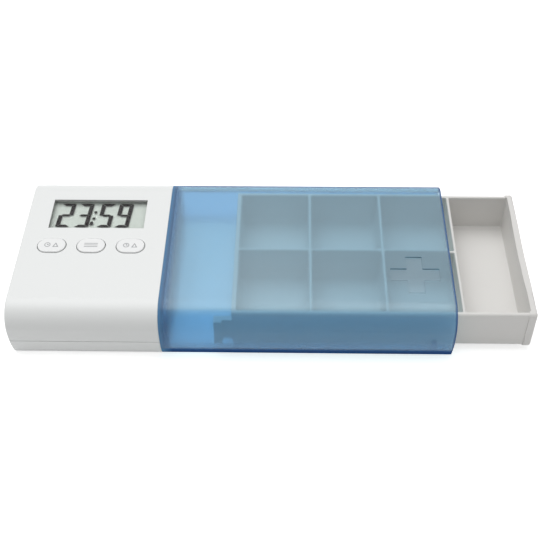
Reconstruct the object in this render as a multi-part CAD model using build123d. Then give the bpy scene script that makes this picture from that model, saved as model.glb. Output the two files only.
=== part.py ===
"""Electronic pill box: a timer unit with a see-through sleeve and a sliding pill tray.

Millimetres, +Z up. The origin is the centre of the closed body's underside. X runs from the
timer's closed end to the sleeve's mouth, and -Y is the side that faces the user.
The tray is drawn pulled out by tray_out.
"""
from build123d import *
from math import cos, pi, radians, sin, sqrt
import os

# Closed body: the timer unit and the sleeve share one section
body_length = 140.0
body_width = 65.0
body_height = 20.0
timer_length = 47.7
widest_height = 11.0
side_bulge_radius = 27.0
top_edge_radius = 7.5
bottom_edge_radius = 1.6
inner_corner_radius = 0.2
end_edge_radius = 0.5

# Timer case
case_wall = 1.6
case_joint_gap = 0.1
case_end_wall = 1.2
case_end_clearance = 0.3
seam_height = 7.8
seam_gap = 0.2
lip_rise = 1.2
lip_root = 1.2
lip_thickness = 1.0
lip_clearance = 0.15
lip_notch_clearance = 0.3

# Sleeve
sleeve_wall = 1.6
sleeve_end_wall = 1.5
mouth_edge_radius = 0.3
rail_height = 1.4
rail_width = 1.2
rail_clearance = 0.3
rail_mouth_gap = 2.0
stop_height = 3.6
stop_length = 1.6
stop_from_mouth = 5.0
plus_size = 15.6
plus_arm = 5.15
plus_depth = 0.5
plus_from_mouth = 11.95
plus_offset_y = -13.7
tongue_rise = 0.6
tongue_thickness = 1.6

# Tray
tray_proud = 4.4
tray_side_gap = 3.3
tray_top_gap = 1.8
tray_floor_gap = 0.25
tray_end_gap = 0.3
tray_out = 20.7
tray_wall = 1.4
tray_end_wall = 1.5
tray_floor = 1.2
tray_divider = 0.95
tray_columns = 3
end_cell_length = 20.0
tray_bottom_radius = 1.5
outer_rim_radius = 0.8
rim_radius = 0.4
pocket_corner_radius = 0.5
pocket_floor_radius = 0.4
flange_thickness = 2.5
flange_step = 0.4
flange_pocket_inset = 0.5
flange_low_radius = 2.0
flange_high_radius = 1.2
flange_edge_radius = 0.8
dip_width = 36.0
dip_depth = 1.2
finger_length = 5.7
finger_thickness = 1.7
finger_rise = 3.05
finger_height = 8.4
finger_tip_length = 2.6
finger_lip = 1.0
finger_barb = 0.9
finger_slot_clearance = 0.5
stop_gap = 0.3

# Display
window_length = 31.8
window_width = 13.8
window_from_end = 7.9
window_from_rear = 12.2
window_lip = 0.6
window_flange = 1.5
window_clearance = 0.1
glass_margin_x = 1.7
glass_margin_y = 0.9
glass_ledge = 2.2
window_glass_gap = 0.05
glass_thickness = 0.55
segment_film = 0.06
segment_gap = 0.02
reflector_film = 0.2
reflector_gap = 0.03
glass_clearance = 0.1
holder_wall = 0.8
holder_rise = 0.9
holder_seat_width = 2.0
strip_end_gap = 1.5
strip_side_gap = 0.3

# Lit strokes of the display, measured from the window's front left corner
shown_time = "2359"
digit_height = 11.35
digit_width = 4.82
digit_slant = 0.07
digit_upright_stroke = 1.38
digit_level_stroke = 1.05
digit_middle_stroke = 0.85
digit_cut = 0.08
digit_lefts = (1.67, 7.85, 15.4, 21.43)
digit_base_y = 2.0
colon_x = 13.89
colon_gap = 3.05
colon_dot = 0.95
bell_x = 13.65
bell_foot = 1.2
bell_width = 1.7
bell_height = 1.45
bell_clapper = 0.3
bell_clapper_gap = 0.12

# Buttons and switches
button_length = 9.2
button_width = 6.35
button_count = 3
button_inset_left = 2.6
button_inset_right = 3.4
button_from_window = 8.4
button_rise = 0.4
button_edge_radius = 0.35
button_groove = 0.25
button_flange = 0.5
button_flange_thickness = 0.8
button_travel = 0.5
flange_ceiling_gap = 0.25
switch_side = 6.0
switch_height = 3.3
plunger_radius = 1.75
plunger_rise = 1.05
plunger_clearance = 0.15
plunger_bottom_gap = 0.2
plunger_bore_floor = 0.5

# Circuit board
board_thickness = 1.0
board_left_gap = 2.9
board_right_gap = 4.2
board_rear_gap = 0.6
board_over_sounder = 5.0
board_boss_gap = 0.3
board_tab_left_gap = 4.5
board_tab_right_gap = 6.0
board_tab_width = 5.6
board_screw_edge_x = 3.1
board_screw_edge_y = 2.8
board_tab_screw_edge = 4.0
board_tab_screw_y = 3.2
resin_radius = 4.5
resin_height = 1.5
crystal_radius = 1.0
crystal_length = 6.0
crystal_from_right = 13.0
crystal_from_front = 3.5
chip_length = 2.0
chip_width = 1.25
chip_height = 0.7
chip_spacing = 3.0
chip_columns = 3
chip_rows = 2
chip_first_x = 8.0
chip_first_y = 3.0

# Screws and bosses
screw_radius = 1.0
screw_point = 0.4
screw_pilot_clearance = 0.04
screw_pilot_extra = 0.5
screw_head_radius = 1.9
screw_head_height = 1.3
screw_head_edge = 0.4
screw_cross_length = 2.2
screw_cross_width = 0.5
screw_cross_depth = 0.6
screw_hole_clearance = 0.2
counterbore_clearance = 0.25
case_screw_depth = 1.3
case_screw_length = 12.0
case_boss_radius = 2.7
case_screw_from_end = 5.3
case_screw_from_side = 6.5
rear_tongue_screw_x = 6.7
front_tongue_screw_x = 8.7
front_tongue_screw_from_side = 11.0
board_screw_length = 4.5
board_boss_radius = 2.1

# Sounder
sounder_from_end = 24.0
sounder_from_front = 14.5
sounder_radius = 10.0
sounder_thickness = 0.25
ceramic_radius = 7.0
ceramic_thickness = 0.25
sounder_seat = 3.4
sounder_seat_width = 1.4
sounder_ring_wall = 0.9
sounder_ring_rise = 0.8
sounder_clearance = 0.15
sound_hole_radius = 0.7
sound_hole_circle = 4.0
sound_hole_count = 6
ceramic_contact_angle = 110.0
ceramic_contact_inset = 1.5
plate_contact_angle = 50.0
plate_contact_inset = 1.2
sounder_contact_thickness = 0.3
sounder_contact_width = 1.6
sounder_contact_foot = 1.0

# Coin cell and battery door
cell_from_end = 24.0
cell_from_sounder = 2.4
coin_radius = 10.0
coin_thickness = 3.2
coin_chamfer = 0.3
coin_side_gap = 0.35
coin_door_gap = 0.3
door_thickness = 1.4
door_ring_wall = 0.7
door_ring_rise = 1.5
door_tab_reach = 1.4
door_tab_thickness = 0.8
door_tab_angle = 26.0
door_notch_angle = 34.0
door_turn = 50.0
door_gap = 0.3
door_ledge_gap = 0.15
door_slot_length = 14.0
door_slot_width = 1.8
door_slot_depth = 0.7
well_wall = 1.2
well_head_room = 1.2
well_roof = 1.2
groove_cover = 0.8
thick_floor_margin = 1.5
contact_thickness = 0.3
contact_width = 4.0
contact_slot_clearance = 0.25
positive_contact_gap = 0.2
negative_leg_from_centre = 6.0
negative_touch_start = 5.0
negative_touch_end = 6.0

# How far a cutter runs past the face that it opens, and how far a joined piece sinks in
cut_past = 1.0
sink = 0.5

# Places along X that follow from the sizes above
case_left = -body_length / 2
sleeve_left = case_left + timer_length
case_right = sleeve_left - case_joint_gap
sleeve_right = body_length / 2
sleeve_inner_left = sleeve_left + sleeve_end_wall
tray_closed_left = sleeve_inner_left + tray_end_gap
tray_length = sleeve_right + tray_proud - tray_closed_left
tray_left = tray_closed_left + tray_out
tray_right = tray_left + tray_length
flange_left = tray_right - flange_thickness
end_panel = flange_thickness - flange_pocket_inset
cells_length = tray_length - tray_end_wall - end_panel - end_cell_length
cell_length = cells_length / tray_columns - tray_divider
finger_left = tray_left - finger_length
stop_left = sleeve_right - stop_from_mouth - stop_length
tray_travel_out = stop_left - stop_gap - (finger_left + finger_tip_length)

# Heights of the sleeve and the tray
tray_bottom = sleeve_wall + tray_floor_gap
tray_top = body_height - sleeve_wall - tray_top_gap
tray_height = tray_top - tray_bottom
finger_low = tray_bottom + finger_rise
finger_high = finger_low + finger_height

# Widths of the sleeve and the tray
tray_half = body_width / 2 - sleeve_wall - tray_side_gap
tray_inner_half = tray_half - tray_wall
rail_inner = tray_half + rail_clearance
rail_outer = rail_inner + rail_width
finger_front = -tray_half - finger_barb

# Display stack, hung from the case's ceiling
case_ceiling = body_height - case_wall
window_centre_x = case_left + window_from_end + window_length / 2
window_rear = body_width / 2 - window_from_rear
window_front = window_rear - window_width
window_centre_y = (window_front + window_rear) / 2
window_top = body_height - window_lip
glass_length = window_length + 2 * glass_margin_x
rear_glass_front = window_front - glass_margin_y
front_glass_front = rear_glass_front - glass_ledge
glass_rear = window_rear + glass_margin_y
glass_top = case_ceiling - window_glass_gap
front_glass_bottom = glass_top - glass_thickness
segment_top = front_glass_bottom - segment_gap
segment_bottom = segment_top - segment_film
rear_glass_top = segment_bottom - segment_gap
reflector_top = rear_glass_top - glass_thickness - reflector_gap
holder_seat = reflector_top - reflector_film
holder_reach = glass_clearance + holder_wall

# Buttons, switches and board, hung from the case's ceiling
button_y = window_front - button_from_window
button_first_x = case_left + window_from_end + button_inset_left
button_last_x = case_left + window_from_end + window_length - button_inset_right
button_pitch = (button_last_x - button_first_x) / (button_count - 1)
button_places = tuple(button_first_x + step * button_pitch for step in range(button_count))
button_flange_top = case_ceiling - flange_ceiling_gap
button_base = button_flange_top - button_flange_thickness
switch_top = button_base - plunger_rise
board_top = switch_top - switch_height
board_bottom = board_top - board_thickness
plunger_bottom = board_top + plunger_bore_floor + plunger_bottom_gap + button_travel

# Sounder and coin cell, set out from the front side
sounder_x = case_left + sounder_from_end
sounder_y = -body_width / 2 + sounder_from_front
sounder_rim_inner = sounder_radius + sounder_clearance
sounder_rim_outer = sounder_rim_inner + sounder_ring_wall
sounder_top = sounder_seat + sounder_thickness
ring_inner = coin_radius + coin_side_gap
ring_outer = ring_inner + door_ring_wall
ledge_inner = ring_outer + door_gap
tab_outer = ring_outer + door_tab_reach
groove_outer = tab_outer + door_gap
door_radius = groove_outer
recess_radius = door_radius + door_gap
thick_floor_radius = recess_radius + thick_floor_margin
cell_x = case_left + cell_from_end
cell_y = sounder_y + sounder_rim_outer + cell_from_sounder + thick_floor_radius
ring_top = door_thickness + door_ring_rise
tab_bottom = ring_top - door_tab_thickness
ledge_top = tab_bottom - door_ledge_gap
groove_top = ring_top + door_gap
coin_bottom = door_thickness + coin_door_gap
coin_top = coin_bottom + coin_thickness
well_ceiling = coin_top + well_head_room
well_top = well_ceiling + well_roof
well_outer = ring_inner + well_wall
positive_x = cell_x + coin_radius
negative_x = cell_x - negative_leg_from_centre

# Outline of the board
board_left = case_left + case_wall + board_left_gap
board_right = sleeve_left - board_right_gap
boss_row_front = button_y - switch_side / 2 - board_boss_gap - board_boss_radius
board_front = min(sounder_y + board_over_sounder, boss_row_front - board_screw_edge_y)
board_rear = glass_rear + holder_reach + board_rear_gap
board_tab_left = board_left + board_tab_left_gap
board_tab_right = board_right - board_tab_right_gap
board_tab_rear = board_rear + board_tab_width

# Screws
tongue_bottom = seam_height + tongue_rise
tongue_top = tongue_bottom + tongue_thickness
case_screw_y = body_width / 2 - case_screw_from_side
case_screw_seat = case_screw_depth + screw_head_height
end_screws = (
    (case_left + case_screw_from_end, case_screw_y),
    (case_left + case_screw_from_end, -case_screw_y),
)
tongue_screws = (
    (sleeve_left - rear_tongue_screw_x, case_screw_y),
    (sleeve_left - front_tongue_screw_x, -body_width / 2 + front_tongue_screw_from_side),
)
case_screws = end_screws + tongue_screws
board_screws = (
    (board_left + board_screw_edge_x, board_front + board_screw_edge_y),
    (board_right - board_screw_edge_x, board_front + board_screw_edge_y),
    (board_tab_left + board_tab_screw_edge, board_rear + board_tab_screw_y),
    (board_tab_right - board_tab_screw_edge, board_rear + board_tab_screw_y),
)


def body_section(inset):
    """The shared cross-section, in the YZ plane, drawn inset from the outer skin."""
    half = body_width / 2 - inset
    low = inset
    high = body_height - inset
    radius = side_bulge_radius - inset
    centre = body_width / 2 - side_bulge_radius
    low_half = centre + sqrt(radius**2 - (widest_height - low) ** 2)
    high_half = centre + sqrt(radius**2 - (high - widest_height) ** 2)
    outline = [
        ThreePointArc((low_half, low), (half, widest_height), (high_half, high)),
        Line((high_half, high), (-high_half, high)),
        ThreePointArc((-high_half, high), (-half, widest_height), (-low_half, low)),
        Line((-low_half, low), (low_half, low)),
    ]
    section = make_face(outline)
    top_corners = section.vertices().group_by(Axis.Y)[-1]
    section = fillet(top_corners, top_edge_radius - inset)
    bottom_corners = section.vertices().group_by(Axis.Y)[0]
    section = fillet(bottom_corners, max(bottom_edge_radius - inset, inner_corner_radius))
    return Plane.YZ * section


def run_along_x(section, start, end):
    """Extrude a YZ section from X = start to X = end."""
    return Pos(start, 0, 0) * extrude(section, end - start)


def block(x0, x1, y0, y1, z0, z1):
    """An upright box given by its limits."""
    size = Box(x1 - x0, y1 - y0, z1 - z0)
    return Pos((x0 + x1) / 2, (y0 + y1) / 2, (z0 + z1) / 2) * size


def rod(x, y, radius, z0, z1):
    """A cylinder along Z given by its place and its two ends."""
    return Pos(x, y, (z0 + z1) / 2) * Cylinder(radius, z1 - z0)


def tube(x, y, inner, outer, z0, z1):
    """A ring along Z."""
    return rod(x, y, outer, z0, z1) - rod(x, y, inner, z0 - cut_past, z1 + cut_past)


def oval(x, y, length, width, z0, z1):
    """An upright stadium with its long axis along X."""
    return Pos(x, y, z0) * extrude(SlotOverall(length, width), z1 - z0)


def plate(points, z0, z1):
    """An upright slab with a straight-sided outline."""
    return Pos(0, 0, z0) * extrude(make_face(Polyline(*points, close=True)), z1 - z0)


def sector(x, y, inner, outer, middle_angle, wide_angle, z0, z1):
    """A piece of a ring, wide_angle degrees wide about middle_angle."""
    reach = (outer + cut_past) / cos(radians(wide_angle / 2))
    corners = [(x, y)]
    for angle in (middle_angle - wide_angle / 2, middle_angle + wide_angle / 2):
        corners.append((x + reach * cos(radians(angle)), y + reach * sin(radians(angle))))
    return tube(x, y, inner, outer, z0, z1) & plate(corners, z0, z1)


def case_slice(z0, z1):
    """A slab across the timer case, used to part its skin."""
    return block(case_left - cut_past, case_right, -body_width, body_width, z0, z1)


def case_liner(outer_inset, inner_inset):
    """A skin inside the timer case, from one inset to the other, open at its right end."""
    outside = run_along_x(body_section(outer_inset), case_left + outer_inset, case_right)
    right = case_right + cut_past
    return outside - run_along_x(body_section(inner_inset), case_left + inner_inset, right)


def case_skin():
    """The timer case's wall, with a softened left end."""
    outside = run_along_x(body_section(0), case_left, case_right)
    left_end = outside.faces().sort_by(Axis.X)[0]
    outside = fillet(left_end.edges(), end_edge_radius)
    right = case_right + cut_past
    return outside - run_along_x(body_section(case_wall), case_left + case_wall, right)


def inside_case(shape):
    """Trim a boss to the middle of the timer case's wall."""
    middle = case_wall / 2
    return shape & run_along_x(body_section(middle), case_left + middle, case_right)


def end_wall(z0, z1):
    """Cross wall that closes the case towards the sleeve, open where the latch finger passes."""
    wall = run_along_x(body_section(case_wall / 2), case_right - case_end_wall, case_right)
    return (wall & case_slice(z0, z1)) - finger_slot(case_right - case_end_wall, case_right)


def upper_end_wall():
    """The cross wall of the upper shell, with room for the lower cover's lip and the tongues."""
    wall = end_wall(seam_height + seam_gap / 2, body_height)
    lip_room = case_wall + lip_clearance + lip_thickness + case_end_clearance
    lip_top = seam_height + lip_rise + case_end_clearance
    low = case_slice(0, lip_top) - run_along_x(body_section(lip_room), case_left, case_right)
    wall -= low
    half = case_boss_radius + case_end_clearance
    left = case_right - case_end_wall - cut_past
    right = case_right + cut_past
    for _, y in tongue_screws:
        wall -= block(left, right, y - half, y + half, 0, tongue_top + case_end_clearance)
    return wall


def upper_boss_bottom(place):
    """Where a case boss of the upper shell ends: on the sleeve's tongue or on the lower boss."""
    return tongue_top if place in tongue_screws else tongue_bottom


def make_timer_upper_shell():
    """Top of the timer case, with the window opening, the button holes and the screw bosses."""
    shell = case_skin() & case_slice(seam_height + seam_gap / 2, body_height + cut_past)
    shell += upper_end_wall()
    for place in case_screws:
        shell += inside_case(rod(*place, case_boss_radius, upper_boss_bottom(place), body_height))
    for place in board_screws:
        shell += inside_case(rod(*place, board_boss_radius, board_top, body_height))
    pilot = screw_radius + screw_pilot_clearance
    for place in case_screws:
        pilot_end = case_screw_seat + case_screw_length + screw_pilot_extra
        shell -= rod(*place, pilot, 0, pilot_end)
    for place in board_screws:
        pilot_end = board_bottom + board_screw_length + screw_pilot_extra
        shell -= rod(*place, pilot, 0, pilot_end)
    shell -= window_block(0, window_top - cut_past, body_height + cut_past)
    shell -= window_block(window_flange + window_clearance, case_ceiling - sink, window_top)
    hole_length = button_length + 2 * button_groove
    hole_width = button_width + 2 * button_groove
    for x in button_places:
        low = case_ceiling - cut_past
        shell -= oval(x, button_y, hole_length, hole_width, low, body_height + cut_past)
    return shell


def window_block(margin, z0, z1):
    """The window opening's outline, grown by a margin all round."""
    return Pos(window_centre_x, window_centre_y, (z0 + z1) / 2) * Box(
        window_length + 2 * margin, window_width + 2 * margin, z1 - z0
    )


def seam_lip():
    """Lip of the lower cover that stands inside the upper shell and closes the seam."""
    outer = case_wall + lip_clearance
    inner = outer + lip_thickness
    top = seam_height + lip_rise
    lip = case_liner(outer, inner) & case_slice(seam_height - lip_root, top)
    notch_radius = case_boss_radius + lip_notch_clearance
    for place in case_screws:
        lip -= rod(*place, notch_radius, tongue_bottom - lip_notch_clearance, top + cut_past)
    root_bottom = seam_height - lip_root - lip_thickness
    root_top = seam_height - seam_gap / 2
    return lip + (case_liner(case_wall / 2, inner) & case_slice(root_bottom, root_top))


def make_timer_lower_cover():
    """Bottom of the timer case, with the battery well, the sounder's seat and the screw wells."""
    cover = case_skin() & case_slice(-cut_past, seam_height - seam_gap / 2)
    cover += seam_lip() + end_wall(0, seam_height - seam_gap / 2)
    for place in case_screws:
        cover += inside_case(rod(*place, case_boss_radius, 0, tongue_bottom))
    floor_middle = case_wall / 2
    cover += rod(cell_x, cell_y, thick_floor_radius, floor_middle, groove_top + groove_cover)
    cover += rod(cell_x, cell_y, well_outer, floor_middle, well_top)
    rim_top = sounder_seat + sounder_ring_rise
    cover += rod(sounder_x, sounder_y, sounder_rim_outer, floor_middle, rim_top)
    cover -= rod(sounder_x, sounder_y, sounder_rim_inner, sounder_seat, rim_top + cut_past)
    seat_inner = sounder_radius - sounder_seat_width
    cover -= rod(sounder_x, sounder_y, seat_inner, case_wall, rim_top + cut_past)
    for place in case_screws:
        counterbore = screw_head_radius + counterbore_clearance
        cover -= rod(*place, counterbore, -cut_past, case_screw_seat)
        cover -= rod(*place, screw_radius + screw_hole_clearance, 0, tongue_bottom + cut_past)
    for x, y in sound_holes():
        cover -= rod(x, y, sound_hole_radius, -cut_past, case_wall + cut_past)
    cover -= rod(cell_x, cell_y, recess_radius, -cut_past, door_thickness)
    cover -= rod(cell_x, cell_y, ledge_inner, 0, groove_top)
    cover -= rod(cell_x, cell_y, groove_outer, ledge_top, groove_top)
    cover -= rod(cell_x, cell_y, ring_inner, 0, well_ceiling)
    for side in (0, 180):
        middle = 90 + side - door_turn
        cover -= sector(
            cell_x, cell_y, ring_outer, groove_outer, middle, door_notch_angle, 0, groove_top
        )
    return cover - contact_slots()


def sound_holes():
    """One hole in the middle and a ring of holes round it."""
    places = [(sounder_x, sounder_y)]
    for step in range(sound_hole_count):
        angle = 2 * pi * step / sound_hole_count
        x = sounder_x + sound_hole_circle * cos(angle)
        y = sounder_y + sound_hole_circle * sin(angle)
        places.append((x, y))
    return places


def contact_slots():
    """Room for the two battery contacts in the wall and roof of the battery well."""
    half = contact_width / 2 + contact_slot_clearance
    top = well_top + cut_past
    outer = positive_x + contact_thickness + contact_slot_clearance
    side_slot = block(positive_x - cut_past, outer, cell_y - half, cell_y + half, groove_top, top)
    reach = contact_thickness / 2 + contact_slot_clearance
    roof_slot = block(
        negative_x - reach, negative_x + reach, cell_y - half, cell_y + half, coin_top, top
    )
    return side_slot + roof_slot


def make_display_window():
    """Clear plate, seated from below in a pocket under the window opening."""
    return window_block(window_flange, case_ceiling, window_top)


def glass_sheet(front, top, thickness):
    """One sheet of the display stack, from its front edge to the common rear edge."""
    half = glass_length / 2
    left = window_centre_x - half
    return block(left, window_centre_x + half, front, glass_rear, top - thickness, top)


def make_lcd_front_glass():
    """Front glass, with a ledge towards the buttons that carries the contacts."""
    return glass_sheet(front_glass_front, glass_top, glass_thickness)


def make_lcd_rear_glass():
    """Rear glass, shorter than the front glass by the ledge."""
    return glass_sheet(rear_glass_front, rear_glass_top, glass_thickness)


def make_lcd_reflector():
    """Reflecting film under the rear glass."""
    return glass_sheet(rear_glass_front, reflector_top, reflector_film)


# The strokes that each numeral lights up
strokes_of_digit = {
    "2": ("top", "upper_right", "middle", "lower_left", "bottom"),
    "3": ("top", "upper_right", "middle", "lower_right", "bottom"),
    "5": ("top", "upper_left", "middle", "lower_right", "bottom"),
    "9": ("top", "upper_left", "upper_right", "middle", "lower_right", "bottom"),
}


def stroke_outlines():
    """The outline of each stroke of a digit, before the slant, from the digit's left foot."""
    middle = digit_height / 2
    cut = 2 * digit_cut
    mitre = cut * digit_level_stroke / digit_upright_stroke
    half_upright = digit_upright_stroke / 2
    half_middle = digit_middle_stroke / 2
    top = [
        (cut, digit_height),
        (digit_width - cut, digit_height),
        (digit_width - digit_upright_stroke - cut, digit_height - digit_level_stroke),
        (digit_upright_stroke + cut, digit_height - digit_level_stroke),
    ]
    upper_left = [
        (0, digit_height - mitre),
        (0, middle + digit_cut),
        (half_upright, middle + digit_cut),
        (digit_upright_stroke, middle + half_middle + digit_cut),
        (digit_upright_stroke, digit_height - digit_level_stroke - mitre),
    ]
    middle_left = [
        (digit_upright_stroke + digit_cut, middle - half_middle),
        (half_upright + digit_cut, middle),
        (digit_upright_stroke + digit_cut, middle + half_middle),
    ]
    return {
        "top": top,
        "middle": middle_left + list(reversed(across(middle_left))),
        "bottom": upside_down(top),
        "upper_left": upper_left,
        "upper_right": across(upper_left),
        "lower_left": upside_down(upper_left),
        "lower_right": across(upside_down(upper_left)),
    }


def across(outline):
    """An outline of a digit, mirrored from left to right."""
    return [(digit_width - x, y) for x, y in outline]


def upside_down(outline):
    """An outline of a digit, mirrored from top to bottom."""
    return [(x, digit_height - y) for x, y in outline]


def rectangle(x, y, width, height):
    """The four corners of an upright rectangle about a point."""
    left = x - width / 2
    right = x + width / 2
    low = y - height / 2
    high = y + height / 2
    return [(left, low), (right, low), (right, high), (left, high)]


def bell_outline():
    """A plain bell that stands on its foot."""
    half = bell_width / 2
    right_side = [
        (half, 0),
        (half * 0.6, bell_height * 0.3),
        (half * 0.55, bell_height * 0.75),
        (half * 0.25, bell_height),
    ]
    left_side = [(-x, y) for x, y in reversed(right_side)]
    return [(bell_x + x, y) for x, y in right_side + left_side]


def display_film(left, bottom, outline):
    """A lit area of the display: an outline slanted about its foot and placed in the window."""
    origin_x = window_centre_x - window_length / 2 + left
    origin_y = window_front + bottom
    points = [(origin_x + x + digit_slant * y, origin_y + y) for x, y in outline]
    return plate(points, segment_bottom, segment_top)


def make_lcd_segments():
    """The lit strokes of a plain slanted time display, as a thin film between the glasses."""
    outlines = stroke_outlines()
    films = []
    for left, numeral in zip(digit_lefts, shown_time):
        for name in strokes_of_digit[numeral]:
            films.append(display_film(left, digit_base_y, outlines[name]))
    middle = digit_height / 2
    for dot_y in (middle - colon_gap / 2, middle + colon_gap / 2):
        dot = rectangle(colon_x, dot_y, colon_dot, colon_dot)
        films.append(display_film(0, digit_base_y, dot))
    clapper_y = -bell_clapper_gap - bell_clapper / 2
    clapper = rectangle(bell_x, clapper_y, 2 * bell_clapper, bell_clapper)
    for outline in (bell_outline(), clapper):
        films.append(display_film(0, digit_base_y + bell_foot, outline))
    return Compound(children=films)


def make_lcd_holder():
    """Plastic frame that stands on the board and carries the glass stack."""
    half = glass_length / 2 + glass_clearance
    left = window_centre_x - half
    right = window_centre_x + half
    front = front_glass_front - glass_clearance
    rear = glass_rear + glass_clearance
    holder_top = holder_seat + holder_rise
    holder = block(
        left - holder_wall,
        right + holder_wall,
        front - holder_wall,
        rear + holder_wall,
        board_top,
        holder_top,
    )
    holder -= block(left, right, front, rear, holder_seat, holder_top + cut_past)
    holder -= block(
        left + holder_seat_width,
        right - holder_seat_width,
        rear_glass_front + holder_seat_width,
        rear - holder_seat_width,
        board_top - cut_past,
        holder_seat + cut_past,
    )
    return holder - strip_room(glass_clearance)


def strip_room(clearance):
    """The contact strip's block, or its slot in the holder when clearance is over zero."""
    half = glass_length / 2 - strip_end_gap + clearance
    return block(
        window_centre_x - half,
        window_centre_x + half,
        front_glass_front + strip_side_gap - clearance,
        rear_glass_front - strip_side_gap + clearance,
        board_top - clearance,
        front_glass_bottom + clearance,
    )


def make_contact_strip():
    """Striped rubber connector from the board up to the front glass's ledge."""
    return strip_room(0)


def make_circuit_board():
    """Board under the display and the switches, with a narrower tab towards the rear."""
    board = block(board_left, board_right, board_front, board_rear, board_bottom, board_top)
    board += block(
        board_tab_left,
        board_tab_right,
        board_rear - sink,
        board_tab_rear,
        board_bottom,
        board_top,
    )
    hole = screw_radius + screw_hole_clearance
    for place in board_screws:
        board -= rod(*place, hole, board_bottom - cut_past, board_top + cut_past)
    return board


def make_chip_resin():
    """Drop of black resin over the timer chip, on the board's underside."""
    ball_radius = (resin_radius**2 + resin_height**2) / (2 * resin_height)
    ball_centre = board_bottom - resin_height + ball_radius
    drop = Pos(window_centre_x, button_y, ball_centre) * Sphere(ball_radius)
    return drop & rod(window_centre_x, button_y, 2 * resin_radius, 0, board_bottom)


def make_quartz_crystal():
    """Small metal can lying under the board."""
    can = Rot(0, 90, 0) * Cylinder(crystal_radius, crystal_length)
    x = board_right - crystal_from_right
    return Pos(x, board_front + crystal_from_front, board_bottom - crystal_radius) * can


def make_board_components():
    """Small chip components soldered under the board in rows."""
    chips = []
    for column in range(chip_columns):
        for row in range(chip_rows):
            x = board_left + chip_first_x + column * chip_spacing
            y = board_front + chip_first_y + row * chip_spacing
            place = Pos(x, y, board_bottom - chip_height / 2)
            chips.append(place * Box(chip_length, chip_width, chip_height))
    return Compound(children=chips)


def make_switch_bodies():
    """Three push switch bodies on the board, one under each button."""
    half = switch_side / 2
    bore = plunger_radius + plunger_clearance
    bodies = []
    for x in button_places:
        body = block(x - half, x + half, button_y - half, button_y + half, board_top, switch_top)
        low = board_top + plunger_bore_floor
        bodies.append(body - rod(x, button_y, bore, low, switch_top + cut_past))
    return Compound(children=bodies)


def make_plunger(x):
    """Moving post of a push switch, up to the underside of the button."""
    return rod(x, button_y, plunger_radius, plunger_bottom, button_base)


def make_button(x):
    """Oval button with a retaining flange under the case's top."""
    top = body_height + button_rise
    cap = oval(x, button_y, button_length, button_width, button_base, top)
    cap = fillet(cap.edges().group_by(Axis.Z)[-1], button_edge_radius)
    length = button_length + 2 * (button_groove + button_flange)
    width = button_width + 2 * (button_groove + button_flange)
    return cap + oval(x, button_y, length, width, button_base, button_flange_top)


def make_screw(x, y, head_bottom, length):
    """Pan head screw pointing up, with a cross recess in its head."""
    head_top = head_bottom + screw_head_height
    head = rod(x, y, screw_head_radius, head_bottom, head_top)
    head = fillet(head.edges().group_by(Axis.Z)[0], screw_head_edge)
    cross = Box(screw_cross_length, screw_cross_width, 2 * screw_cross_depth)
    cross += Box(screw_cross_width, screw_cross_length, 2 * screw_cross_depth)
    shank = rod(x, y, screw_radius, head_top, head_top + length)
    shank = chamfer(shank.edges().group_by(Axis.Z)[-1], screw_point)
    return head - Pos(x, y, head_bottom) * cross + shank


def make_case_screws():
    """Four screws that clamp the case, two of them through the sleeve's tongues."""
    screws = [make_screw(*place, case_screw_depth, case_screw_length) for place in case_screws]
    return Compound(children=screws)


def make_board_screws():
    """Four screws that hold the board up against the bosses of the upper shell."""
    head_bottom = board_bottom - screw_head_height
    screws = [make_screw(*place, head_bottom, board_screw_length) for place in board_screws]
    return Compound(children=screws)


def make_sounder_plate():
    """Brass disc that lies on its ring seat over the sound holes."""
    return rod(sounder_x, sounder_y, sounder_radius, sounder_seat, sounder_top)


def make_sounder_ceramic():
    """Ceramic disc bonded to the brass disc."""
    return rod(sounder_x, sounder_y, ceramic_radius, sounder_top, sounder_top + ceramic_thickness)


def sounder_contact(angle, radius, foot):
    """Bent spring strip from the board down to a disc of the sounder."""
    x = sounder_x + radius * cos(radians(angle))
    y = sounder_y + radius * sin(radians(angle))
    left = x - sounder_contact_width / 2
    right = x + sounder_contact_width / 2
    rear = y + sounder_contact_thickness
    leg = block(left, right, y, rear, foot, board_bottom)
    toe_front = y - sounder_contact_foot
    return leg + block(left, right, toe_front, rear, foot, foot + sounder_contact_thickness)


def make_sounder_contacts():
    """One spring strip on the ceramic and one on the brass."""
    ceramic_reach = ceramic_radius - ceramic_contact_inset
    plate_reach = sounder_radius - plate_contact_inset
    strips = [
        sounder_contact(ceramic_contact_angle, ceramic_reach, sounder_top + ceramic_thickness),
        sounder_contact(plate_contact_angle, plate_reach, sounder_top),
    ]
    return Compound(children=strips)


def make_coin_cell():
    """Coin cell, with its wider can facing the door."""
    cell = rod(cell_x, cell_y, coin_radius, coin_bottom, coin_top)
    return chamfer(cell.edges().group_by(Axis.Z)[-1], coin_chamfer)


def make_battery_contact_positive():
    """Upright strip that touches the coin cell's side and reaches the board."""
    half = contact_width / 2
    low = groove_top + positive_contact_gap
    outer = positive_x + contact_thickness
    return block(positive_x, outer, cell_y - half, cell_y + half, low, board_bottom)


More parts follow.
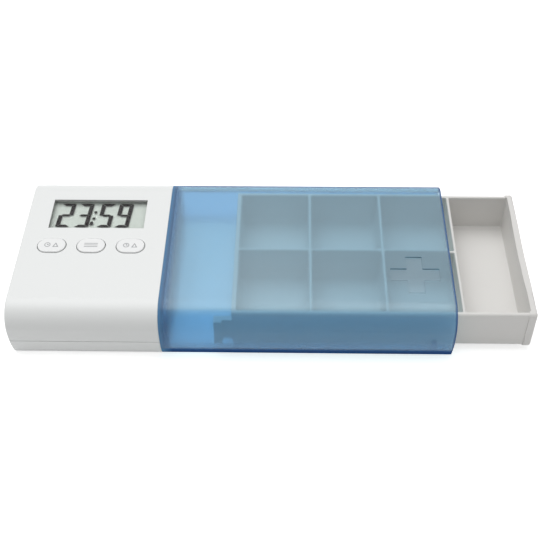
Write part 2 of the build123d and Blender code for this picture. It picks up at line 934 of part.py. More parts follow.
def make_battery_contact_negative():
    """Strip under the well's roof, bent down to the coin cell and up to the board."""
    left = negative_x - contact_thickness / 2
    right = negative_x + contact_thickness / 2
    under_roof = well_ceiling - contact_thickness
    touch_top = coin_top + contact_thickness
    path = [
        (left, board_bottom),
        (right, board_bottom),
        (right, well_ceiling),
        (cell_x, well_ceiling),
        (cell_x + negative_touch_start, touch_top),
        (cell_x + negative_touch_end, touch_top),
        (cell_x + negative_touch_end, coin_top),
        (cell_x + negative_touch_start, coin_top),
        (cell_x - contact_thickness, under_roof),
        (left, under_roof),
    ]
    outline = Plane.XZ * make_face(Polyline(*path, close=True))
    return Pos(0, cell_y, 0) * extrude(outline, contact_width / 2, both=True)


def make_battery_door():
    """Round bayonet door with a coin slot, flush with the underside."""
    door = rod(cell_x, cell_y, door_radius, 0, door_thickness)
    door += tube(cell_x, cell_y, ring_inner, ring_outer, door_thickness / 2, ring_top)
    ring_middle = (ring_inner + ring_outer) / 2
    for side in (0, 180):
        middle = 90 + side
        door += sector(
            cell_x, cell_y, ring_middle, tab_outer, middle, door_tab_angle, tab_bottom, ring_top
        )
    slot = Box(door_slot_length, door_slot_width, 2 * door_slot_depth)
    return door - Pos(cell_x, cell_y, 0) * slot


def make_sleeve():
    """See-through sleeve with an end wall, floor rails, a mouth stop and two fixing tongues."""
    outside = run_along_x(body_section(0), sleeve_left, sleeve_right)
    mouth = outside.faces().sort_by(Axis.X)[-1]
    outside = fillet(mouth.edges(), mouth_edge_radius)
    right = sleeve_right + cut_past
    sleeve = outside - run_along_x(body_section(sleeve_wall), sleeve_inner_left, right)
    floor_middle = sleeve_wall / 2
    rail_left = sleeve_left + sleeve_end_wall / 2
    rail_right = sleeve_right - rail_mouth_gap
    rail_top = sleeve_wall + rail_height
    sleeve += block(rail_left, rail_right, rail_inner, rail_outer, floor_middle, rail_top)
    sleeve += block(rail_left, rail_right, -rail_outer, -rail_inner, floor_middle, rail_top)
    stop_right = stop_left + stop_length
    stop_top = sleeve_wall + stop_height
    sleeve += block(stop_left, stop_right, -rail_outer, -rail_inner, floor_middle, stop_top)
    sleeve -= finger_slot(sleeve_left, sleeve_inner_left)
    sleeve -= plus_sign()
    for place in tongue_screws:
        sleeve += tongue(*place)
    return sleeve


def tongue(x, y):
    """Flat tongue from the sleeve's end wall to a case screw, with the screw's hole."""
    reach = case_boss_radius
    right = sleeve_left + sleeve_end_wall / 2
    strap = block(x, right, y - reach, y + reach, tongue_bottom, tongue_top)
    strap += rod(x, y, reach, tongue_bottom, tongue_top)
    hole = screw_radius + screw_hole_clearance
    return strap - rod(x, y, hole, tongue_bottom - cut_past, tongue_top + cut_past)


def plus_sign():
    """Plain plus-shaped recess in the sleeve's top, near the mouth."""
    cutter = Box(plus_size, plus_arm, 2 * plus_depth) + Box(plus_arm, plus_size, 2 * plus_depth)
    return Pos(sleeve_right - plus_from_mouth, plus_offset_y, body_height) * cutter


def finger_slot(wall_left, wall_right):
    """Slot for the tray's latch finger through a cross wall with these two faces."""
    return block(
        wall_left - cut_past,
        wall_right,
        finger_front - finger_slot_clearance,
        finger_thickness - tray_half + finger_slot_clearance,
        finger_low - finger_lip - finger_slot_clearance,
        finger_high + finger_slot_clearance,
    )


def tray_cells():
    """The seven pockets as boxes: left, right, front and rear limits."""
    first = tray_left + tray_end_wall
    pitch = cell_length + tray_divider
    half_divider = tray_divider / 2
    cells = []
    for column in range(tray_columns):
        left = first + column * pitch
        right = left + cell_length
        cells.append((left, right, -tray_inner_half, -half_divider))
        cells.append((left, right, half_divider, tray_inner_half))
    last = first + tray_columns * pitch
    cells.append((last, last + end_cell_length, -tray_inner_half, tray_inner_half))
    return cells


def tray_pocket(left, right, front, rear):
    """One pocket's cutter, with soft corners and a soft floor edge."""
    pocket = block(left, right, front, rear, tray_bottom + tray_floor, body_height)
    pocket = fillet(pocket.edges().filter_by(Axis.Z), pocket_corner_radius)
    return fillet(pocket.edges().group_by(Axis.Z)[0], pocket_floor_radius)


def tray_flange():
    """End panel, a step larger than the tray, with a dip in its top edge for a finger."""
    panel = Rectangle(2 * (tray_half + flange_step), tray_height + 2 * flange_step)
    panel = fillet(panel.vertices().group_by(Axis.Y)[0], flange_low_radius)
    panel = fillet(panel.vertices().group_by(Axis.Y)[-1], flange_high_radius)
    middle = (tray_bottom + tray_top) / 2
    flange = run_along_x(Plane.YZ * (Pos(0, middle) * panel), flange_left, tray_right)
    flange = fillet(flange.faces().sort_by(Axis.X)[-1].edges(), flange_edge_radius)
    dip_radius = (dip_width**2 / 4 + dip_depth**2) / (2 * dip_depth)
    dip_centre = tray_top + flange_step - dip_depth + dip_radius
    dip = Rot(0, 90, 0) * Cylinder(dip_radius, 4 * flange_thickness)
    return flange - Pos(tray_right, 0, dip_centre) * dip


def latch_finger():
    """Arm from the tray's inner end, with a lipped and barbed tip."""
    root = tray_left + tray_end_wall / 2
    rear = finger_thickness - tray_half
    arm = block(finger_left, root, -tray_half, rear, finger_low, finger_high)
    tip_right = finger_left + finger_tip_length
    lip_low = finger_low - finger_lip
    return arm + block(finger_left, tip_right, finger_front, rear, lip_low, finger_high)


def make_tray():
    """Tray with seven pockets, a flanged end panel and a latch finger."""
    section = Rectangle(2 * tray_half, tray_height)
    section = fillet(section.vertices().group_by(Axis.Y)[0], tray_bottom_radius)
    section = fillet(section.vertices().group_by(Axis.Y)[-1], outer_rim_radius)
    middle = (tray_bottom + tray_top) / 2
    tray = run_along_x(Plane.YZ * (Pos(0, middle) * section), tray_left, flange_left + sink)
    tray += tray_flange()
    for cell in tray_cells():
        tray -= tray_pocket(*cell)
    rim = tray.edges().filter_by_position(Axis.Z, tray_top, tray_top)
    rim_right = flange_left - pocket_corner_radius
    rim = rim.filter_by_position(Axis.X, tray_left, rim_right)
    rim = rim.filter_by_position(Axis.Y, -tray_inner_half, tray_inner_half)
    return fillet(rim, rim_radius) + latch_finger()


def make_nodes():
    """Every piece of the pill box, by the name of its node."""
    nodes = {
        "timer_upper_shell": make_timer_upper_shell(),
        "timer_lower_cover": make_timer_lower_cover(),
        "display_window": make_display_window(),
        "lcd_front_glass": make_lcd_front_glass(),
        "lcd_segments": make_lcd_segments(),
        "lcd_rear_glass": make_lcd_rear_glass(),
        "lcd_reflector": make_lcd_reflector(),
        "lcd_holder": make_lcd_holder(),
        "contact_strip": make_contact_strip(),
        "circuit_board": make_circuit_board(),
        "chip_resin": make_chip_resin(),
        "quartz_crystal": make_quartz_crystal(),
        "board_components": make_board_components(),
        "switch_bodies": make_switch_bodies(),
        "sounder_plate": make_sounder_plate(),
        "sounder_ceramic": make_sounder_ceramic(),
        "sounder_contacts": make_sounder_contacts(),
        "coin_cell": make_coin_cell(),
        "battery_contact_positive": make_battery_contact_positive(),
        "battery_contact_negative": make_battery_contact_negative(),
        "battery_door": make_battery_door(),
        "case_screws": make_case_screws(),
        "board_screws": make_board_screws(),
        "sleeve": make_sleeve(),
        "tray": make_tray(),
    }
    for name, x in zip(("left", "middle", "right"), button_places):
        nodes[name + "_button"] = make_button(x)
        nodes[name + "_plunger"] = make_plunger(x)
    return nodes


def main():
    os.makedirs("parts", exist_ok=True)
    for name, shape in make_nodes().items():
        export_step(shape, "parts/" + name + ".step")
    print("tray travel in and out:", round(tray_out, 3), round(tray_travel_out, 3))
    for cell in tray_cells():
        print("pocket:", [round(limit, 3) for limit in cell])
    print("battery door axis:", round(cell_x, 3), round(cell_y, 3))


if __name__ == "__main__":
    main()
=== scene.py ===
"""Looks of an electronic pill box, as an add-on that is run as a script.

The pieces of the pill box come from model.glb. Every operator finishes one piece, or one group of
like pieces, and the last one sets the stage. Lengths are in metres.
"""
import math

import bmesh
import bpy
from bpy.props import FloatProperty, FloatVectorProperty, PointerProperty
from bpy.types import Operator, Panel, PropertyGroup
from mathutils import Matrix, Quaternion, Vector


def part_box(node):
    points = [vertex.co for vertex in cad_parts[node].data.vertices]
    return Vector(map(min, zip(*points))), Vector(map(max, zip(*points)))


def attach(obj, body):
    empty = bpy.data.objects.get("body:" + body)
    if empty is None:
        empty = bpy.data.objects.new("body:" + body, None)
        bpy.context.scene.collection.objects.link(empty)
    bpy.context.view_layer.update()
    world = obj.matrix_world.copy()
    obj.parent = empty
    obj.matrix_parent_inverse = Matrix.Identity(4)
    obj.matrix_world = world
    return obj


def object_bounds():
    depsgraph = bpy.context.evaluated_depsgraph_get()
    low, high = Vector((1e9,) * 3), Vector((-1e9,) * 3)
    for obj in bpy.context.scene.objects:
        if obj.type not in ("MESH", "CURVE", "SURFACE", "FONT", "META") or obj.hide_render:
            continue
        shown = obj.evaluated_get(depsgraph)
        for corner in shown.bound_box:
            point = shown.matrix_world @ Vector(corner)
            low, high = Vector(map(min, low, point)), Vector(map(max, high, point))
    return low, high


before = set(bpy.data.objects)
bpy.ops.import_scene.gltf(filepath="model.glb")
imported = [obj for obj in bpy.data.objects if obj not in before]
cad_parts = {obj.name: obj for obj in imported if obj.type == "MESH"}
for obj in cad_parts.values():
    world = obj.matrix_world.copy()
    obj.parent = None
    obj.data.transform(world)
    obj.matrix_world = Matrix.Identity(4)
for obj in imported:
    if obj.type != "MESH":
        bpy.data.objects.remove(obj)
cad_low, cad_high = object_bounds()

bl_info = {
    "name": "Pill box looks",
    "version": (1, 0, 0),
    "blender": (4, 5, 0),
    "location": "3D View > Sidebar > Pill box",
    "description": "Finishes the pieces of an electronic pill box and sets its stage",
    "category": "Object",
}

MM = 0.001
BUTTONS = ("left_button", "middle_button", "right_button")
BUTTON_KEYS = ("left_key", "middle_key", "right_key")
PLUNGERS = ("left_plunger", "middle_plunger", "right_plunger")

# Detail of the three noises, in octaves past the first
PATCH_DETAIL = 3
GRAIN_DETAIL = 2
LINE_DETAIL = 1

# A grain's share in the rubbing of a moulding
GRAIN_RUB = 0.5

# How strongly the clear plastics and the display's glass bend light
CLEAR_PLASTIC_IOR = 1.49
GLASS_IOR = 1.5

# Upright part of a normal under which a face of a clear plate is one of its sides
SIDE_NORMAL = 0.3
SIDE_ROUGHNESS = 0.7

# Places of the sockets that a Mix node uses for colours
MIX_FACTOR = 0
MIX_PLAIN = 6
MIX_OTHER = 7
MIX_RESULT = 2

# Lengths of the clocks' hands, as shares of the inner radius
SIDE_HAND = 0.62
SHORT_HAND = 0.5
LONG_HAND = 0.85

# Width of the camera's frame, in millimetres
SENSOR_WIDTH = 36

# How far the floor lies below the part
FLOOR_GAP = 0.1 * MM


# Properties

def colour(name, description, value):
    """A colour property, as linear red, green and blue."""
    return FloatVectorProperty(
        name=name, description=description, default=value, size=3, subtype="COLOR", min=0, max=1
    )


def length(name, description, value):
    """A length property, in metres."""
    return FloatProperty(name=name, description=description, default=value, unit="LENGTH", min=0)


def share(name, description, value):
    """A property from 0 to 1."""
    return FloatProperty(
        name=name, description=description, default=value, subtype="FACTOR", min=0, max=1
    )


def gain(name, description, value):
    """A plain factor."""
    return FloatProperty(name=name, description=description, default=value, min=0)


class PillBoxCase(PropertyGroup):
    """Finish of the white mouldings of the timer."""

    shell_colour: colour("Shell colour", "White of the timer case", (0.83, 0.845, 0.84))
    button_colour: colour("Button colour", "White of the push buttons", (0.86, 0.87, 0.87))
    roughness: share("Roughness", "Roughness of the satin shells", 0.42)
    grain_size: length("Grain size", "Width of a grain of the satin texture", 0.25 * MM)
    grain_depth: length("Grain depth", "Depth of the satin texture", 0.004 * MM)


class PillBoxPrints(PropertyGroup):
    """The plain signs printed on the push buttons."""

    ink_colour: colour("Ink colour", "Grey of the printed signs", (0.36, 0.37, 0.38))
    thickness: length("Ink thickness", "How far the ink stands up", 0.02 * MM)
    stroke: length("Stroke", "Width of a printed stroke", 0.26 * MM)
    ring_radius: length("Clock radius", "Outer radius of the clock sign", 1 * MM)
    sign_gap: length("Sign gap", "From the button's middle to each sign's middle", 1.35 * MM)
    bar_length: length("Bar length", "Length of the three bars", 4.4 * MM)
    bar_pitch: length("Bar pitch", "Distance from bar to bar", 0.75 * MM)


class PillBoxDisplay(PropertyGroup):
    """Finish of the liquid crystal display."""

    film_colour: colour("Film colour", "Grey green of the reflecting film", (0.64, 0.68, 0.655))
    ink_colour: colour("Stroke colour", "Near black of the lit strokes", (0.006, 0.002, 0.004))
    window_tint: colour("Window tint", "Tint of the clear window", (0.99, 0.995, 0.99))
    window_mirror: share("Window mirror", "Share of its gloss that the window keeps", 0.05)


class PillBoxSleeve(PropertyGroup):
    """Finish of the see-through sleeve."""

    tint: colour("Tint", "Pale blue of the frosted skin", (0.7, 0.8, 0.92))
    clearness: share("Clearness", "Share of the light that passes into the plastic", 0.88)
    roughness: share("Frost", "How much the plastic blurs what is behind it", 0.22)
    mirror: share("Mirror", "Share of its gloss that the plastic keeps", 0.5)
    depth_colour: colour("Depth colour", "Blue that a thick layer turns to", (0.2, 0.62, 0.7))
    density: gain("Density", "How fast the plastic takes up light, for each metre", 300.0)
    passing: colour("Passing light", "Tint of the light that goes straight on", (1.0, 0.98, 0.98))
    edge_colour: colour("Edge colour", "Deep blue seen along the edges", (0.04, 0.11, 0.3))
    # Painted shade: the root colour darkens the plastic beside the timer, in place of the shade of
    # the timer's end wall seen through the frosted top.
    root_shade_colour: colour("Root colour", "Blue of the wall beside the timer", (0.13, 0.31, 0.55))
    # Painted shade: the side colour darkens the plastic along the front and back walls, where the
    # tray behind them lies in shade.
    side_shade_colour: colour("Side colour", "Deeper blue of the two side walls", (0.38, 0.62, 0.9))
    side_shade_width: length("Side width", "Depth of the side walls' blue", 4.4 * MM)
    side_shade_gain: gain("Side gain", "How sharply the side walls' blue ends", 4.0)
    edge_turn: share("Edge turn", "Turn from the view at which an edge starts to look blue", 0.38)
    edge_gain: gain("Edge gain", "How fast an edge's blue grows with its turn", 4.0)
    corner_width: length("Corner width", "Width of the rounded long edges", 5 * MM)
    corner_gain: gain("Corner gain", "How sharply the rounded edges' blue ends", 3.0)
    mouth_width: length("Mouth width", "Width of the deep blue along the mouth", 0.7 * MM)
    # Width and cover of the painted shade beside the timer
    root_shade_width: length("Root width", "Width of the deeper blue beside the timer", 3.6 * MM)
    root_shade_share: share("Root share", "How much of the root's blue covers the plastic", 0.7)


class PillBoxTray(PropertyGroup):
    """Finish of the tray."""

    # The warmth of this white is painted warm light, as cast by pills in the compartments.
    tray_colour: colour("Tray colour", "Warm white of the tray", (0.745, 0.735, 0.715))
    roughness: share("Roughness", "Roughness of the smooth moulding", 0.4)


class PillBoxStage(PropertyGroup):
    """Camera, floor and light."""

    camera_place: FloatVectorProperty(
        name="Camera place",
        description="Where the camera stands",
        default=(0.0182508, -0.2323213, 0.2506407),
        size=3,
        unit="LENGTH",
    )
    pitch: FloatProperty(
        name="Pitch", description="How far the camera looks down", default=0.8086, unit="ROTATION"
    )
    heading: FloatProperty(
        name="Heading", description="Camera's turn from +Y", default=-0.0282, unit="ROTATION"
    )
    roll: FloatProperty(
        name="Roll", description="Camera's turn about its view", default=-0.0129, unit="ROTATION"
    )
    lens: FloatProperty(
        name="Lens", description="Focal length in millimetres", default=66.783, unit="CAMERA"
    )
    floor_size: length("Floor size", "Side of the square floor", 6.0)
    floor_colour: colour("Floor colour", "Pale colour of the floor", (0.86, 0.86, 0.86))
    floor_lift: share("Floor lift", "White that the floor adds where the camera sees it", 0.62)
    sky_level: share("Sky level", "Brightness of the light from all round", 0.4)
    lamp_power: FloatProperty(
        name="Lamp power", description="Power of the large overhead lamp", default=7.3, unit="POWER"
    )
    lamp_size: length("Lamp size", "Side of the overhead lamp", 0.9)
    lamp_place: FloatVectorProperty(
        name="Lamp place",
        description="Where the overhead lamp hangs",
        default=(-0.15, 0.24, 1.0),
        size=3,
        unit="LENGTH",
    )


# Shader node groups

def new_skin(name, base, numbers):
    """A group that puts out colour, roughness and height, and its two end nodes."""
    group = bpy.data.node_groups.new(name, "ShaderNodeTree")
    inputs = [("Colour", "NodeSocketColor", base)]
    inputs += [(label, "NodeSocketFloat", value) for label, value in numbers.items()]
    for label, kind, value in inputs:
        socket = group.interface.new_socket(name=label, in_out="INPUT", socket_type=kind)
        socket.default_value = value
    for label in ("Colour", "Roughness", "Height"):
        kind = "NodeSocketColor" if label == "Colour" else "NodeSocketFloat"
        group.interface.new_socket(name=label, in_out="OUTPUT", socket_type=kind)
    start = group.nodes.new("NodeGroupInput")
    end = group.nodes.new("NodeGroupOutput")
    return group, start, end


def add_node(tree, kind, settings=None, values=None):
    """A new node with its settings and the plain values of its inputs."""
    node = tree.nodes.new(kind)
    for name, value in (settings or {}).items():
        setattr(node, name, value)
    for name, value in (values or {}).items():
        node.inputs[name].default_value = value
    return node


def math_node(tree, operation, first, second=0.0):
    """A Math node's output. Each operand is a socket or a number."""
    node = add_node(tree, "ShaderNodeMath", {"operation": operation})
    for socket, operand in zip(node.inputs, (first, second)):
        if isinstance(operand, (int, float)):
            socket.default_value = operand
        else:
            tree.links.new(operand, socket)
    return node.outputs[0]


def centred_noise(tree, place, size, detail):
    """Noise about zero, from -0.5 to 0.5, whose patches are about size wide. Size is a socket."""
    noise = add_node(tree, "ShaderNodeTexNoise", values={"Detail": detail})
    tree.links.new(place, noise.inputs["Vector"])
    tree.links.new(math_node(tree, "DIVIDE", 1.0, size), noise.inputs["Scale"])
    return math_node(tree, "SUBTRACT", noise.outputs["Fac"], 0.5)


def shaded_colour(tree, source, drift):
    """The source colour, made brighter or darker by the drift, which is about zero."""
    shade = add_node(tree, "ShaderNodeHueSaturation")
    tree.links.new(source, shade.inputs["Color"])
    tree.links.new(math_node(tree, "ADD", 1.0, drift), shade.inputs["Value"])
    return shade.outputs["Color"]


def end_skin(group, start, end, uneven, wear, height):
    """Link the group's three outputs. The uneven and wear masks are about zero."""
    drift = math_node(group, "MULTIPLY", uneven, start.outputs["Colour Drift"])
    group.links.new(shaded_colour(group, start.outputs["Colour"], drift), end.inputs["Colour"])
    rub = math_node(group, "MULTIPLY", wear, start.outputs["Roughness Drift"])
    rough = math_node(group, "ADD", start.outputs["Roughness"], rub)
    group.links.new(rough, end.inputs["Roughness"])
    group.links.new(height, end.inputs["Height"])


def moulded_group():
    """Skin of a plastic moulding: a fine grain, a slow drift in colour and faint rubbing."""
    numbers = {
        "Colour Drift": 0.02,
        "Drift Size": 18 * MM,
        "Grain Size": 0.25 * MM,
        "Grain Depth": 0.004 * MM,
        "Roughness": 0.4,
        "Roughness Drift": 0.1,
    }
    group, start, end = new_skin("moulded_skin", grey(0.8), numbers)
    place = add_node(group, "ShaderNodeTexCoord").outputs["Object"]
    slow = centred_noise(group, place, start.outputs["Drift Size"], PATCH_DETAIL)
    fine = centred_noise(group, place, start.outputs["Grain Size"], GRAIN_DETAIL)
    both = math_node(group, "ADD", slow, math_node(group, "MULTIPLY", fine, GRAIN_RUB))
    height = math_node(group, "MULTIPLY", fine, start.outputs["Grain Depth"])
    end_skin(group, start, end, slow, both, height)
    return group


def metal_group():
    """Skin of sheet or plated metal: fine lines along X and a slow drift in polish."""
    numbers = {
        "Colour Drift": 0.06,
        "Line Length": 3 * MM,
        "Line Width": 0.08 * MM,
        "Line Depth": 0.002 * MM,
        "Roughness": 0.3,
        "Roughness Drift": 0.15,
    }
    group, start, end = new_skin("metal_skin", grey(0.7), numbers)
    place = add_node(group, "ShaderNodeTexCoord").outputs["Object"]
    slow = centred_noise(group, place, start.outputs["Line Length"], PATCH_DETAIL)
    stretch = add_node(group, "ShaderNodeVectorMath", {"operation": "MULTIPLY"})
    group.links.new(place, stretch.inputs[0])
    squeeze = add_node(group, "ShaderNodeCombineXYZ", values={"Y": 1.0, "Z": 1.0})
    ratio = math_node(group, "DIVIDE", start.outputs["Line Width"], start.outputs["Line Length"])
    group.links.new(ratio, squeeze.inputs["X"])
    group.links.new(squeeze.outputs["Vector"], stretch.inputs[1])
    stretched = stretch.outputs["Vector"]
    lines = centred_noise(group, stretched, start.outputs["Line Width"], LINE_DETAIL)
    both = math_node(group, "ADD", slow, lines)
    height = math_node(group, "MULTIPLY", lines, start.outputs["Line Depth"])
    end_skin(group, start, end, both, both, height)
    return group


GROUP_MAKERS = {"moulded_skin": moulded_group, "metal_skin": metal_group}


def skin_group(name):
    """The named node group, built the first time that it is asked for."""
    return bpy.data.node_groups.get(name) or GROUP_MAKERS[name]()


# Materials

def rgba(value):
    """A colour with full alpha."""
    return (value[0], value[1], value[2], 1.0)


def grey(level):
    """An even grey with full alpha."""
    return (level, level, level, 1.0)


def new_material(name):
    """An empty material, its tree and its output node."""
    material = bpy.data.materials.new(name)
    material.use_nodes = True
    tree = material.node_tree
    tree.nodes.clear()
    return material, tree, tree.nodes.new("ShaderNodeOutputMaterial")


def skinned_shader(tree, skin, skin_values, shader_values):
    """A Principled shader whose colour, roughness and bump come from a skin group."""
    group = add_node(tree, "ShaderNodeGroup", {"node_tree": skin_group(skin)}, skin_values)
    shader = add_node(tree, "ShaderNodeBsdfPrincipled", values=shader_values)
    tree.links.new(group.outputs["Colour"], shader.inputs["Base Color"])
    tree.links.new(group.outputs["Roughness"], shader.inputs["Roughness"])
    bump = add_node(tree, "ShaderNodeBump", values={"Distance": 1.0})
    tree.links.new(group.outputs["Height"], bump.inputs["Height"])
    tree.links.new(bump.outputs["Normal"], shader.inputs["Normal"])
    return shader


def mixed_shaders(tree, mask, first, second):
    """The first shader, turned to the second one by the mask."""
    mix = tree.nodes.new("ShaderNodeMixShader")
    for socket, source in zip(mix.inputs, (mask, first, second)):
        tree.links.new(source, socket)
    return mix.outputs["Shader"]


def lay_over(tree, mask, cover):
    """Show the cover in place of the material's skinned shader, as far as the mask says."""
    skin = tree.nodes["Principled BSDF"].outputs["BSDF"]
    target = skin.links[0].to_socket
    tree.links.new(mixed_shaders(tree, mask, skin, cover.outputs["BSDF"]), target)


def solid_material(name, skin, skin_values, shader_values=None):
    """A solid material with a skin group."""
    material, tree, end = new_material(name)
    shader = skinned_shader(tree, skin, skin_values, shader_values or {})
    tree.links.new(shader.outputs["BSDF"], end.inputs["Surface"])
    return material


def clear_material(name, skin_values, tint, shader_values):
    """See-through material that lets lamps and diffuse light pass straight on, with its tint."""
    material, tree, end = new_material(name)
    shader = skinned_shader(tree, "moulded_skin", skin_values, shader_values)
    passing = add_node(tree, "ShaderNodeBsdfTransparent", values={"Color": rgba(tint)})
    path = tree.nodes.new("ShaderNodeLightPath")
    light_only = math_node(
        tree, "MAXIMUM", path.outputs["Is Shadow Ray"], path.outputs["Is Diffuse Ray"]
    )
    surface = mixed_shaders(tree, light_only, shader.outputs["BSDF"], passing.outputs["BSDF"])
    tree.links.new(surface, end.inputs["Surface"])
    return material


def case_material(name, base):
    """Satin white plastic of the timer."""
    case = bpy.context.scene.pill_box_case
    values = {
        "Colour": rgba(base),
        "Colour Drift": 0.015,
        "Grain Size": case.grain_size,
        "Grain Depth": case.grain_depth,
        "Roughness": case.roughness,
        "Roughness Drift": 0.08,
    }
    return solid_material(name, "moulded_skin", values, {"IOR": 1.53})


def tray_material():
    """Smooth white plastic, whose slight warmth is painted warm light, as cast by pills in the
    compartments.
    """
    tray = bpy.context.scene.pill_box_tray
    values = {
        "Colour": rgba(tray.tray_colour),
        "Colour Drift": 0.03,
        "Drift Size": 12 * MM,
        "Grain Size": 1 * MM,
        "Grain Depth": 0.0015 * MM,
        "Roughness": tray.roughness,
        "Roughness Drift": 0.1,
    }
    return solid_material("tray_plastic", "moulded_skin", values, {"IOR": 1.5})


def sleeve_material():
    """Frosted see-through blue plastic, with painted shade on its front and back walls and beside
    the timer.
    """
    sleeve = bpy.context.scene.pill_box_sleeve
    values = {
        "Colour": rgba(sleeve.tint),
        "Colour Drift": 0.02,
        "Drift Size": 25 * MM,
        "Grain Size": 0.5 * MM,
        "Grain Depth": 0.001 * MM,
        "Roughness": sleeve.roughness,
        "Roughness Drift": 0.04,
    }
    shader_values = {
        "Transmission Weight": sleeve.clearness,
        "IOR": CLEAR_PLASTIC_IOR,
        "Specular Tint": grey(sleeve.mirror),
    }
    material = clear_material("sleeve_plastic", values, sleeve.passing, shader_values)
    tree = material.node_tree
    distances = sleeve_distances(tree)
    # Painted shade on the front and back walls, then edge blue and painted shade beside the timer
    paint_side_shade(tree, sleeve, distances["side"])
    deepen_edges_and_paint_root_shade(tree, sleeve, distances)
    depth_values = {"Color": rgba(sleeve.depth_colour), "Density": sleeve.density}
    taken_up = add_node(tree, "ShaderNodeVolumeAbsorption", values=depth_values)
    end = tree.get_output_node("ALL")
    tree.links.new(taken_up.outputs["Volume"], end.inputs["Volume"])
    return material


def sleeve_distances(tree):
    """Distances of a point from the sleeve's root, mouth, sides and rounded long edges."""
    low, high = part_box("sleeve")
    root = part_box("timer_upper_shell")[1].x
    place = add_node(tree, "ShaderNodeTexCoord").outputs["Object"]
    split = tree.nodes.new("ShaderNodeSeparateXYZ")
    tree.links.new(place, split.inputs["Vector"])
    across = math_node(tree, "SUBTRACT", split.outputs["Y"], (low.y + high.y) / 2)
    from_middle = math_node(tree, "ABSOLUTE", across)
    side = math_node(tree, "SUBTRACT", (high.y - low.y) / 2, from_middle)
    from_top = math_node(tree, "SUBTRACT", high.z, split.outputs["Z"])
    from_foot = math_node(tree, "SUBTRACT", split.outputs["Z"], low.z)
    face = math_node(tree, "MINIMUM", from_top, from_foot)
    return {
        "root": math_node(tree, "SUBTRACT", split.outputs["X"], root),
        "mouth": math_node(tree, "SUBTRACT", high.x, split.outputs["X"]),
        "side": side,
        "corner": math_node(tree, "MAXIMUM", side, face),
    }


def clamped(tree, operation, first, second):
    """A Math node's output, kept from 0 to 1."""
    result = math_node(tree, operation, first, second)
    result.node.use_clamp = True
    return result


def fade(tree, distance, width):
    """A mask that falls from 1 at no distance to 0 at the width."""
    return clamped(tree, "SUBTRACT", 1.0, math_node(tree, "DIVIDE", distance, width))


def mixed_colour(tree, mask, plain, other):
    """The plain colour, turned to the other one by the mask. A colour is a socket or a value."""
    mix = add_node(tree, "ShaderNodeMix", {"data_type": "RGBA"})
    tree.links.new(mask, mix.inputs[MIX_FACTOR])
    for place, source in ((MIX_PLAIN, plain), (MIX_OTHER, other)):
        if isinstance(source, bpy.types.NodeSocket):
            tree.links.new(source, mix.inputs[place])
        else:
            mix.inputs[place].default_value = rgba(source)
    return mix.outputs[MIX_RESULT]


def paint_side_shade(tree, sleeve, distance):
    """Paint shade on the front and back walls: a deeper blue that stands in for the shade of the
    tray behind them.
    """
    base = tree.nodes["Principled BSDF"].inputs["Base Color"]
    side = fade(tree, distance, sleeve.side_shade_width)
    # Mask of the painted shade along the front and back walls
    mask = clamped(tree, "MULTIPLY", side, sleeve.side_shade_gain)
    plain = base.links[0].from_socket
    tree.links.new(mixed_colour(tree, mask, plain, sleeve.side_shade_colour), base)


def deepen_edges_and_paint_root_shade(tree, sleeve, distances):
    """Lay blue over the mouth and the long edges where the view runs along them, and paint shade
    over the root, beside the timer's end wall.
    """
    facing = add_node(tree, "ShaderNodeLayerWeight", values={"Blend": 0.5}).outputs["Facing"]
    turned = math_node(tree, "SUBTRACT", facing, sleeve.edge_turn)
    along = clamped(tree, "MULTIPLY", turned, sleeve.edge_gain)
    corner = fade(tree, distances["corner"], sleeve.corner_width)
    rounded = clamped(tree, "MULTIPLY", corner, sleeve.corner_gain)
    long_edges = math_node(tree, "MULTIPLY", along, rounded)
    mouth = fade(tree, distances["mouth"], sleeve.mouth_width)
    edges = math_node(tree, "MAXIMUM", long_edges, mouth)
    # Painted shade beside the timer: strongest at the root, gone at the root width
    root = fade(tree, distances["root"], sleeve.root_shade_width)
    thick = math_node(tree, "MULTIPLY", root, sleeve.root_shade_share)
    values = {"Roughness": sleeve.roughness, "Specular IOR Level": 0.0}
    # Shader of the deep edge blue and of the painted shade beside the timer
    deep = add_node(tree, "ShaderNodeBsdfPrincipled", values=values)
    # Edge blue, turned to the painted shade colour at the root
    blue = mixed_colour(tree, root, sleeve.edge_colour, sleeve.root_shade_colour)
    tree.links.new(blue, deep.inputs["Base Color"])
    lay_over(tree, math_node(tree, "MAXIMUM", edges, thick), deep)


def matt_sides(tree, tint):
    """Make the upright sides of a clear plate matt, because they aren't polished."""
    split = tree.nodes.new("ShaderNodeSeparateXYZ")
    normal = add_node(tree, "ShaderNodeTexCoord").outputs["Normal"]
    tree.links.new(normal, split.inputs["Vector"])
    upright = math_node(tree, "ABSOLUTE", split.outputs["Z"])
    values = {"Base Color": rgba(tint), "Roughness": SIDE_ROUGHNESS}
    matt = add_node(tree, "ShaderNodeBsdfPrincipled", values=values)
    lay_over(tree, math_node(tree, "LESS_THAN", upright, SIDE_NORMAL), matt)


def plate_material(name, skin_values, ior, mirror):
    """A clear plate with the window's tint, which keeps the mirror share of its gloss."""
    tint = bpy.context.scene.pill_box_display.window_tint
    shader_values = {
        "Transmission Weight": 1.0,
        "IOR": ior,
        "Specular Tint": grey(mirror),
    }
    values = {"Colour": rgba(tint), **skin_values}
    material = clear_material(name, values, tint, shader_values)
    matt_sides(material.node_tree, tint)
    return material


def window_material():
    """Clear polished plastic with faint rubbing, which hardly mirrors the sky."""
    mirror = bpy.context.scene.pill_box_display.window_mirror
    skin_values = {
        "Colour Drift": 0.01,
        "Grain Size": 1.5 * MM,
        "Grain Depth": 0.0002 * MM,
        "Roughness": 0.03,
        "Roughness Drift": 0.04,
    }
    return plate_material("window_plastic", skin_values, CLEAR_PLASTIC_IOR, mirror)


